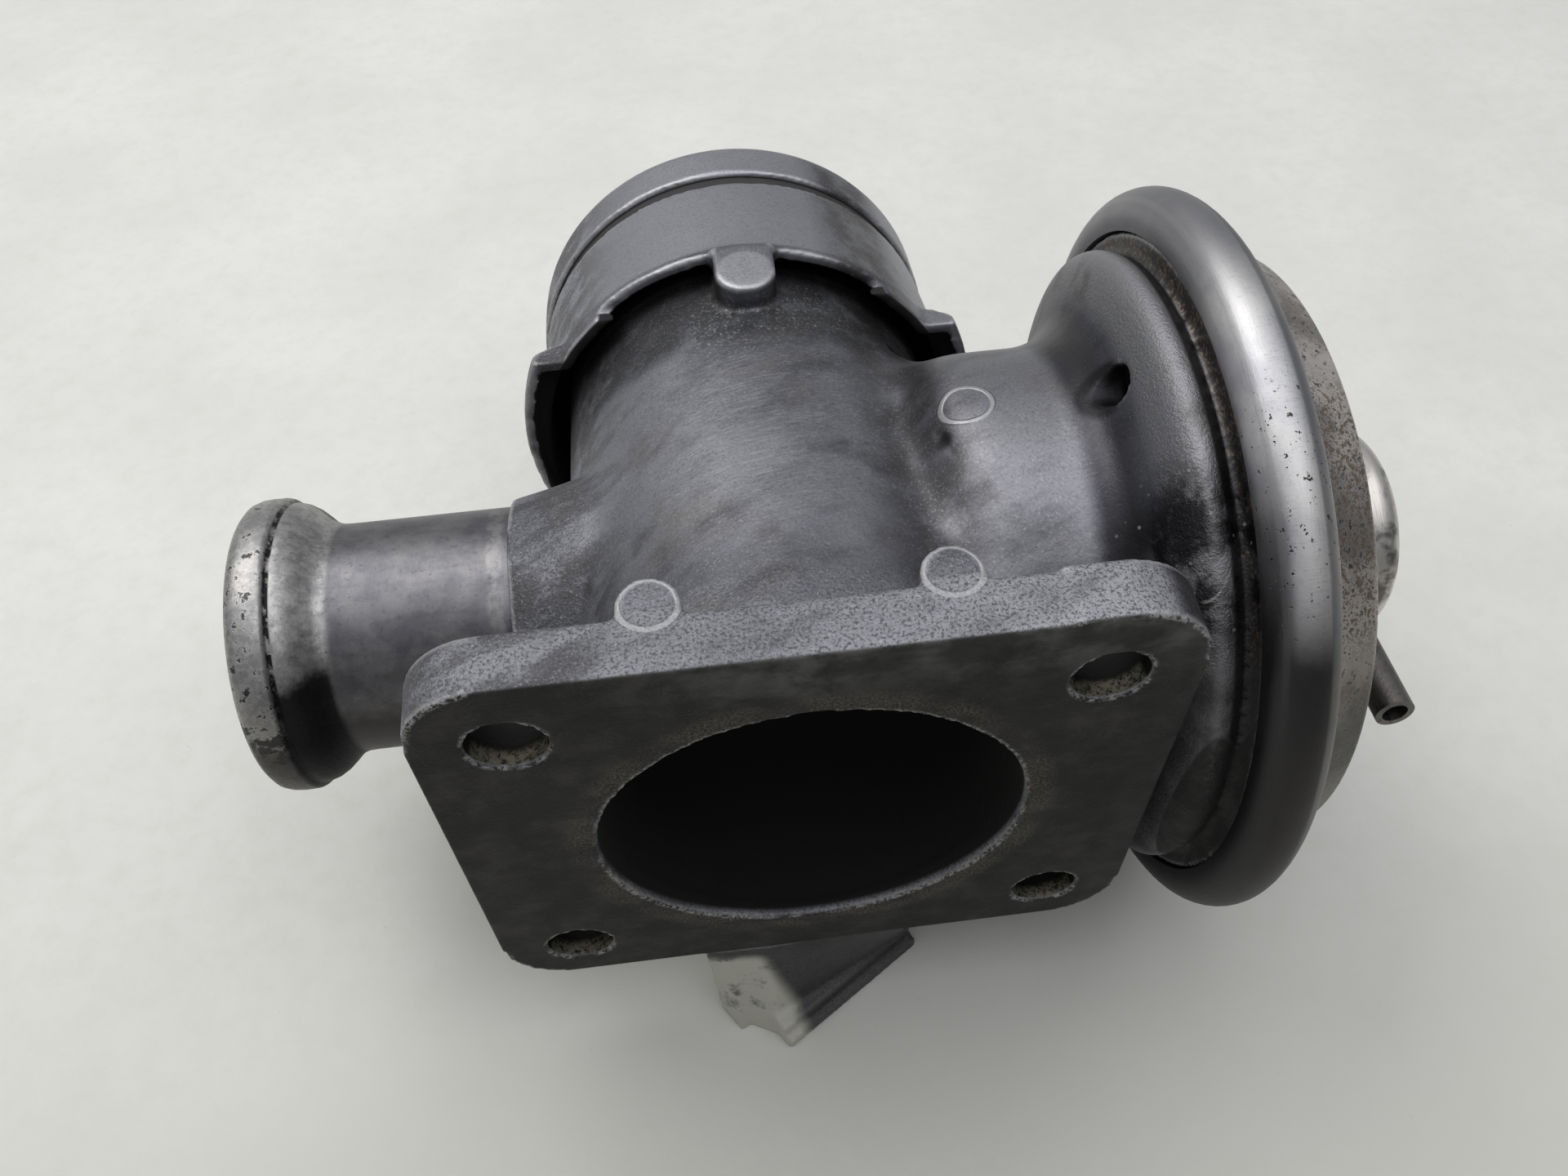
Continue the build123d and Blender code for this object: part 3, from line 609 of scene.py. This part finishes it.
def spun(name, profile):
    """Turned piece about the valve's axis, from a closed profile of (x, radius) points."""
    bm = bmesh.new()
    points = [bm.verts.new((x * MM, VALVE_Y * MM, (VALVE_Z + r) * MM)) for x, r in profile]
    lines = [bm.edges.new((points[i - 1], points[i])) for i in range(len(points))]
    bmesh.ops.spin(bm, geom=points + lines, cent=(0, VALVE_Y * MM, VALVE_Z * MM), axis=(1, 0, 0),
                   angle=2 * math.pi, steps=TURNED_STEPS, use_merge=True)
    bmesh.ops.remove_doubles(bm, verts=bm.verts, dist=0.001 * MM)
    bmesh.ops.recalc_face_normals(bm, faces=bm.faces)
    mesh = bpy.data.meshes.new(name)
    bm.to_mesh(mesh)
    bm.free()
    shade_smooth(mesh)
    return add_object(name, mesh)


beaded_pipe = spun("beaded_pipe", PIPE_BORE + PIPE_BAND + PIPE_FLARE + PIPE_WALL)
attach(beaded_pipe, "valve_body")
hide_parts("exhaust_pipe")

DULL_PIPE = (0.13, 0.13, 0.145)
CLEAN_PIPE = (0.21, 0.205, 0.215)
BAND_METAL = (0.46, 0.45, 0.44)
PIPE_STREAK = (0.10, 0.095, 0.095)
PIPE_PITS = (0.06, 0.055, 0.055)
PRESS_LINE = (0.42, 0.41, 0.40)
SOOT_FLAKES = (0.03, 0.028, 0.03)
STEP_SOOT = (0.018, 0.017, 0.018)
LOW_SOOT_AND_SHADE = (0.05, 0.045, 0.043)
CAKED_SOOT = (0.014, 0.013, 0.015)
PIPE_INSIDE = (0.012, 0.011, 0.01)
pipe = Look("pipe_steel")
axle = pipe.about(pipe.y - VALVE_Y, pipe.z - VALVE_Z)
lines = pipe.noise(0.3, detail=2, stretch=(0.5, 8, 8))
streak = pipe.noise(1.4, detail=3, stretch=(9, 1, 1), shift=7)
patch = pipe.noise(5, detail=5, rough=0.65)
spots = pipe.noise(1.6, detail=4, rough=0.7, shift=4)
fine = pipe.noise(0.5, detail=3, rough=0.7)
low = pipe.step(pipe.z + 4 * patch, 8, 1)
band = pipe.step(pipe.x, -62.7, -63.4)
flare = pipe.band(pipe.x, -62.8, -57.6, 1.2)
band_step = pipe.band(pipe.x, -63.2, -62.8, 0.25)
socket_end = pipe.band(pipe.x, -36.5, -35.2, 0.7)
# Flakes on the band, a line in the step, and a thick cake on the lower half of the flare
flakes = pipe.step(spots + 0.10 * low, 0.575, 0.64)
caked = flare * pipe.step(pipe.z + 5 * patch + 0.35 * (pipe.x + 60), 9.5, 6.5)
tone = pipe.coats(
    pipe.tint(DULL_PIPE, CLEAN_PIPE, pipe.step(patch, 0.32, 0.66)),
    (BAND_METAL, (band | flare * 0.9) * (0.5 + 0.5 * pipe.step(spots, 0.40, 0.62))),
    (PIPE_STREAK, pipe.step(streak, 0.50, 0.75) * (1 - band) * 0.4),
    (PIPE_PITS, pipe.step(fine, 0.58, 0.70) * 0.5),
    (SOOT_FLAKES, band * flakes * 0.9),
    (STEP_SOOT, band_step * pipe.step(spots, 0.38, 0.54)),
    # soot and painted shade on the pipe's lower half
    (LOW_SOOT_AND_SHADE, pipe.step(pipe.z + 4 * patch, 4, -2) * 0.93),
    (CAKED_SOOT, caked * 0.96),
    (PRESS_LINE, socket_end * pipe.step(spots, 0.40, 0.6) * 0.3),
    (PIPE_INSIDE, pipe.step(axle, 14.6, 14.2)))
pipe.set(Base_Color=tone, Roughness=0.30 + 0.16 * lines + 0.12 * patch + 0.1 * caked)
chips = pipe.step(spots, 0.575, 0.64) * band
pipe.relief(lines * 0.012 + patch * 0.04 + fine * (0.01 + 0.05 * caked) - chips * 0.04)
pipe.dress(beaded_pipe, nodes["exhaust_pipe"])

# ------------------------------------------------ seat, poppet, stem, guide
# Turned steel valve and seat, baked brown by the exhaust gas, and the sintered bronze bush that
# guides the stem.

BAKED_STEEL = (0.20, 0.18, 0.16)
BAKED_CRUST = (0.05, 0.045, 0.04)
baked = Look("baked_steel")
crust = baked.noise(1.2, detail=4)
baked.set(Base_Color=baked.tint(BAKED_STEEL, BAKED_CRUST, baked.step(crust, 0.4, 0.6)),
          Roughness=0.45 + 0.3 * crust)
baked.relief(crust * 0.05)
baked.dress(nodes["valve_seat"], nodes["poppet"], nodes["valve_stem"])

BRONZE = (0.45, 0.30, 0.15)
DARK_BRONZE = (0.30, 0.19, 0.10)
bronze = Look("sintered_bronze")
grains = bronze.noise(0.4, detail=2)
bronze.set(Base_Color=bronze.tint(BRONZE, DARK_BRONZE, grains), Roughness=0.4 + 0.3 * grains)
bronze.relief(grains * 0.03)
bronze.dress(nodes["guide_bush"])

# --------------------------------------------- seals, diaphragm and plates
# Moulded rubber seals, and a rubber diaphragm between two zinc-plated steel plates. A washer and a
# nut hold the plates and the spring's seat on the stem, and a pressed cap holds the stem's seal.

BLACK_RUBBER = (0.018, 0.018, 0.019)
DUSTY_RUBBER = (0.04, 0.039, 0.038)
rubber = Look("black_rubber", metallic=0.0)
mottle = rubber.noise(1.5, detail=4)
rubber.set(Base_Color=rubber.tint(BLACK_RUBBER, DUSTY_RUBBER, mottle), Roughness=0.6 + 0.2 * mottle)
rubber.relief(mottle * 0.04)
rubber.dress(nodes["stem_seal"], nodes["diaphragm"], nodes["spigot_seal"])

# The diaphragm's rim stays clamped while its middle moves with the plates, and its fold rolls
# between them. It is cut into equal slices about the valve's axis.
SLICES = 24


def spoke(angle, radius):
    """Point about the valve's axis, in metres, from an angle and a radius in millimetres."""
    return Vector((0, VALVE_Y + radius * math.cos(angle), VALVE_Z + radius * math.sin(angle))) * MM


half = math.pi / SLICES
for index in range(SLICES):
    middle = 2 * index * half
    piece = merged_copy("diaphragm", f"diaphragm_slice_{index:02d}")
    bm = bmesh.new()
    bm.from_mesh(piece.data)
    for angle, side in ((middle - half, -1), (middle + half, 1)):
        bmesh.ops.bisect_plane(bm, geom=bm.verts[:] + bm.edges[:] + bm.faces[:], dist=0.0001 * MM,
                               plane_co=spoke(0, 0), clear_outer=True,
                               plane_no=(0, -side * math.sin(angle), side * math.cos(angle)))
    bm.to_mesh(piece.data)
    bm.free()
    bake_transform(piece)
    rubber.dress(piece)
    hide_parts("diaphragm")

ZINC = (0.50, 0.50, 0.50)
YELLOWED_ZINC = (0.62, 0.60, 0.54)
zinc = Look("zinc_plate")
spangle = zinc.noise(2.5, detail=3)
zinc.set(Base_Color=zinc.tint(ZINC, YELLOWED_ZINC, spangle), Roughness=0.3 + 0.15 * spangle)
zinc.relief(spangle * 0.02)
for name in ("seal_cap", "front_plate", "rear_plate", "spring_seat", "lock_washer", "stem_nut"):
    zinc.dress(nodes[name])

# -------------------------------------------------------------- return spring
# Oiled spring steel wire, coiled hot and ground at its ends. It stands between the spring's seat
# and the can's cap, and opening the valve shortens it.

BLUED_WIRE = (0.16, 0.16, 0.17)
BRIGHT_WIRE = (0.26, 0.26, 0.27)
wire = Look("spring_wire")
draw = wire.noise(0.6, detail=2)
wire.set(Base_Color=wire.tint(BLUED_WIRE, BRIGHT_WIRE, draw), Roughness=0.35 + 0.2 * draw)
wire.relief(draw * 0.01)
coil = merged_copy("return_spring", "coil_spring")
wire.dress(coil, nodes["return_spring"])
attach(coil, "valve_body")
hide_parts("return_spring")
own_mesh(coil)

# ---------------------------------------------- rear can, cap and nipple
# Deep-drawn steel, stained dark and freckled with rust, with the vacuum nipple brazed into it. The
# cap on its end is worn bright.

DARK_CAN = (0.30, 0.285, 0.27)
BRIGHT_CAN = (0.66, 0.62, 0.59)
CAN_RUST = (0.21, 0.165, 0.13)
CAN_PITS = (0.03, 0.028, 0.028)
CAN_SPARKS = (0.62, 0.61, 0.60)
CAN_LOW_SHADE = (0.06, 0.057, 0.055)
can = Look("can_steel")
freckle = can.noise(0.9, detail=4, rough=0.75)
patches = can.noise(12, detail=4)
rusty = can.near((60, 15, 30), 12, 8) | can.step(patches, 0.6, 0.45) * 0.5
tone = can.coats(
    can.tint(DARK_CAN, BRIGHT_CAN, can.step(patches, 0.36, 0.62)),
    (CAN_RUST, can.step(freckle, 0.48, 0.58) * rusty),
    (CAN_PITS, can.step(freckle, 0.46, 0.36) * 0.8),
    (CAN_SPARKS, can.step(freckle, 0.62, 0.70) * 0.7),
    # painted shade, the can darker towards its bottom
    (CAN_LOW_SHADE, can.step(can.z, 27, 6) * 0.8))
can.set(Base_Color=tone, Roughness=0.34 + 0.25 * freckle)
can.relief(freckle * 0.07)
can.dress(nodes["rear_can"], nodes["vacuum_nipple"])

BRIGHT_CAP = (0.66, 0.63, 0.60)
CAP_STAIN = (0.15, 0.14, 0.135)
cap = Look("cap_steel")
lines = cap.noise(0.4, detail=2, stretch=(0.5, 8, 8))
stain = cap.noise(7, detail=5, rough=0.6)
cap.set(Base_Color=cap.tint(BRIGHT_CAP, CAP_STAIN, cap.step(stain, 0.48, 0.62)), Roughness=0.28 + 0.2 * lines)
cap.relief(lines * 0.02 + stain * 0.04)
cap.dress(nodes["can_cap"])

# ---------------------------------------------------------------- crimp ring
# Steel rim rolled round the edges of bowl, diaphragm and can, brushed bright all round and pitted
# in places.

BRUSHED_RIM = (0.60, 0.595, 0.60)
DULL_RIM = (0.42, 0.42, 0.45)
FAR_RIM_SHADE = (0.24, 0.24, 0.255)
RIM_CROWN_HIGHLIGHT = (0.60, 0.59, 0.575)
RIM_SCRATCH = (0.12, 0.118, 0.12)
RIM_FOLD = (0.12, 0.12, 0.13)
RIM_LOW_SHADE = (0.035, 0.033, 0.034)
INNER_RIM_SHADE = (0.06, 0.058, 0.06)
INNER_RIM_HIGHLIGHT = (0.35, 0.35, 0.36)
RIM_PITS = (0.035, 0.03, 0.03)
RIM_INSIDE_SHADE = (0.03, 0.03, 0.03)
rim = Look("rim_steel")
axle = rim.about(rim.y - VALVE_Y, rim.z - VALVE_Z)
hair = rim.noise(0.22, detail=3, stretch=(0.5, 10, 10))
cross = rim.noise(0.30, detail=4, rough=0.75, stretch=(5, 0.8, 0.8))
dull = rim.noise(10, detail=4)
pit = rim.step(rim.noise(0.9, detail=3, rough=0.7, shift=2), 0.62, 0.67)
pitted = rim.near((54, 12, 35), 9, 8) | rim.step(dull, 0.58, 0.68)
crown = rim.band(rim.x, 52.2, 54.2, 1.2) * rim.step(cross, 0.20, 0.80) * rim.step(rim.y, 44, 30)
# Painted shade lies on the inner side of the lower half, then on the whole rim further down
under = rim.step(rim.z + 6 * dull, 33, 25) * rim.step(rim.y, 30, 12)
inner = rim.step(rim.x, 51.6, 50.4) * rim.step(rim.y, 20, 8)
tone = rim.coats(
    rim.tint(BRUSHED_RIM, DULL_RIM, rim.step(dull, 0.36, 0.62)),
    # painted shade on the rim's far side
    (FAR_RIM_SHADE, rim.step(rim.y, 30, 50) * 0.85),
    # painted highlight along the rim's crown, streaked by the cross noise
    (RIM_CROWN_HIGHLIGHT, crown * 0.6),
    (RIM_SCRATCH, rim.step(cross, 0.46, 0.30) * 0.3),
    (RIM_FOLD, rim.band(rim.x, 55.2, 56.6, 0.5) * 0.6),
    (RIM_LOW_SHADE, under * (0.96 - 0.4 * rim.band(rim.x, 55.4, 57, 0.6))),
    (INNER_RIM_SHADE, inner * 0.75),
    # painted highlight on the thin inner lip
    (INNER_RIM_HIGHLIGHT, rim.band(rim.x, 50.3, 50.6, 0.25) * rim.step(rim.y, -6, 20) * 0.5),
    (RIM_PITS, pit * pitted),
    # painted shade inside the rim
    (RIM_INSIDE_SHADE, rim.step(axle, 43.6, 42.8)))
rim.set(Base_Color=tone, Roughness=0.34 + 0.14 * hair + 0.14 * cross)
rim.relief(hair * 0.02 + cross * 0.012 - pit * pitted * 0.08)
rim.dress(nodes["crimp_ring"])

# ---------------------------------------------------- table, lamps and camera
# The valve rests on a pale board. A warm soft light comes from a window at the upper left and a
# wider, cooler one from the ceiling, and the room glows most from above.

TABLE_HALF = 1.5
FLOOR_Z = cad_box[0][2]
bm = bmesh.new()
bmesh.ops.create_grid(bm, x_segments=1, y_segments=1, size=TABLE_HALF)
bmesh.ops.translate(bm, verts=bm.verts, vec=(0, 0, FLOOR_Z))
table_mesh = bpy.data.meshes.new("table_top")
bm.to_mesh(table_mesh)
bm.free()
table_top = add_object("table_top", table_mesh)

BOARD = (0.73, 0.73, 0.70)
PALE_BOARD = (0.79, 0.795, 0.76)
NEAR_BOARD_SHADE = (0.62, 0.61, 0.555)
SHADED_BOARD = (0.40, 0.40, 0.365)
SMUDGED_BOARD = (0.66, 0.65, 0.60)
BOARD_MARKS = (0.42, 0.40, 0.37)
board = Look("table_board", metallic=0.0)
clouds = board.noise(45, detail=5, rough=0.6)
mottle = board.noise(5, detail=6, rough=0.75)
mark = board.noise(1.2, detail=4, rough=0.7)
near_corner = board.near((-35, -115, FLOOR_Z / MM), 20, 120)
shade = board.coats(
    board.tint(BOARD, PALE_BOARD, board.step(clouds, 0.3, 0.7)),
    # painted shade, the board darker towards the front
    (NEAR_BOARD_SHADE, board.step(board.y, 90, -110)),
    (SHADED_BOARD, near_corner * 0.85),
    (SMUDGED_BOARD, board.step(mottle, 0.40, 0.70) * 0.35),
    (BOARD_MARKS, board.step(mark, 0.68, 0.76) * 0.4))
board.set(Base_Color=shade, Roughness=0.5 + 0.2 * mottle)
board.relief(mottle * 0.08 + mark * 0.03)
board.dress(table_top)


def soft_lamp(name, place, aim, size, watts, colour):
    """Rectangular lamp at a place, in metres, that shines towards the aim."""
    lamp = bpy.data.lights.new(name, "AREA")
    lamp.shape = "RECTANGLE"
    lamp.size, lamp.size_y = size
    lamp.energy = watts
    lamp.color = colour
    holder = add_object(name, lamp)
    holder.location = place
    holder.rotation_euler = (Vector(aim) - Vector(place)).to_track_quat("-Z", "Y").to_euler()


WARM_LIGHT = (1.0, 0.985, 0.955)
COOL_LIGHT = (0.97, 0.98, 1.0)
soft_lamp("window", place=(-0.32, 0.34, 0.70), aim=(0.02, 0.04, 0), size=(0.6, 0.5),
          watts=2.9, colour=WARM_LIGHT)
soft_lamp("ceiling", place=(0.22, -0.02, 0.85), aim=(0.03, 0.04, 0), size=(0.9, 0.8),
          watts=2.8, colour=COOL_LIGHT)

WINDOW_SIDE = (-0.2, 0.35, 0.91)
ROOM_COLOUR = (0.96, 0.975, 1.0, 1)
ROOM_GLOW = 0.10
WINDOW_GLOW = 0.52
GLOW_FADE = (-0.5, 0.9)
world = bpy.data.worlds.new("room")
bpy.context.scene.world = world
world.use_nodes = True
room = Graph(world.node_tree)
way = room.node("ShaderNodeTexCoord").outputs["Generated"]
towards_window = room.node("ShaderNodeVectorMath", {"operation": "DOT_PRODUCT"}, {0: way, 1: WINDOW_SIDE})
fade = room.step(Mask(room, towards_window.outputs["Value"]), *GLOW_FADE)
sky = room.tree.nodes["Background"]
room.feed(sky.inputs["Color"], ROOM_COLOUR)
room.feed(sky.inputs["Strength"], ROOM_GLOW + (WINDOW_GLOW - ROOM_GLOW) * fade)

CAMERA_PLACE = (-0.008961, -0.069300, 0.138841)
CAMERA_TURN = (37.0935, 1.2234, -6.9324)
lens = bpy.data.cameras.new("camera")
lens.sensor_width = 36.0
lens.lens = 30.0
lens.clip_start = 0.01
camera = add_object("camera", lens)
camera.location = CAMERA_PLACE
camera.rotation_euler = [math.radians(angle) for angle in CAMERA_TURN]
bpy.context.scene.camera = camera
bpy.context.scene.view_settings.view_transform = "Standard"
